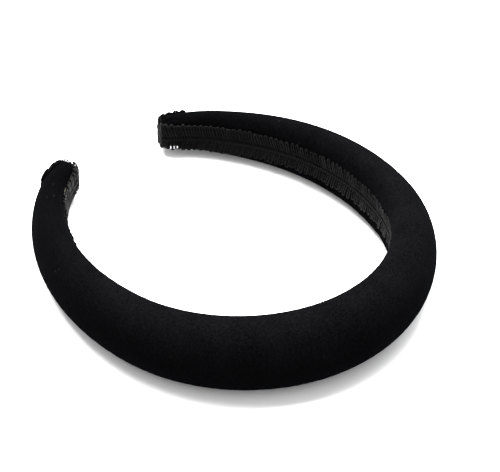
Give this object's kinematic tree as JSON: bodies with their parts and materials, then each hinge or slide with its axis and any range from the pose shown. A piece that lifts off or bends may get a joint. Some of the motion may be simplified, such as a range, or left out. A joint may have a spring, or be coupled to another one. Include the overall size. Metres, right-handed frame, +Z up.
{
  "type": "padded velvet headband",
  "caption": "Padded velvet hair band on a sprung strip, widest at the crown and tapering to rounded tips, with a gimp braid glued round its inside; the arms spring open.",
  "frame": {"origin": "on the table under the middle of the band's footprint, the band lying on its lower edge", "axes": "+Z up through the width of the band, X from ear to ear with the mirror plane at X = 0, the crown at -Y and the two tips at +Y"},
  "size_m": [0.1414, 0.1566, 0.0316],
  "materials": {
    "velvet": "black cotton velvet, short dense pile with a faint sheen at grazing angles",
    "braid": "black woven gimp braid with looped edges, slightly satin",
    "foam": "open-cell foam, off-white, matt",
    "core": "black moulded plastic strip, satin",
    "adhesive": "dried translucent adhesive",
    "thread": "shiny polyester thread"
  },
  "bodies": {
    "left_half": {"core_strip_left": "core", "foam_tape_left": "adhesive", "foam_pad_left": "foam", "velvet_cover_left": "velvet", "braid_glue_left": "adhesive", "gimp_braid_left": "braid", "tack_stitch_left_1": "thread", "tack_stitch_left_2": "thread", "tack_stitch_left_3": "thread"},
    "right_half": {"core_strip_right": "core", "foam_tape_right": "adhesive", "foam_pad_right": "foam", "velvet_cover_right": "velvet", "braid_glue_right": "adhesive", "gimp_braid_right": "braid", "tack_stitch_right_1": "thread", "tack_stitch_right_2": "thread", "tack_stitch_right_3": "thread"}
  },
  "joints": [
    {"name": "crown_flex", "type": "hinge", "parent": "left_half", "child": "right_half", "pos_m": [0, -0.07821, 0.0158], "axis": [0, 0, -1], "range_deg": [0, 30], "stiffness_Nm_per_rad": 0.35}
  ]
}
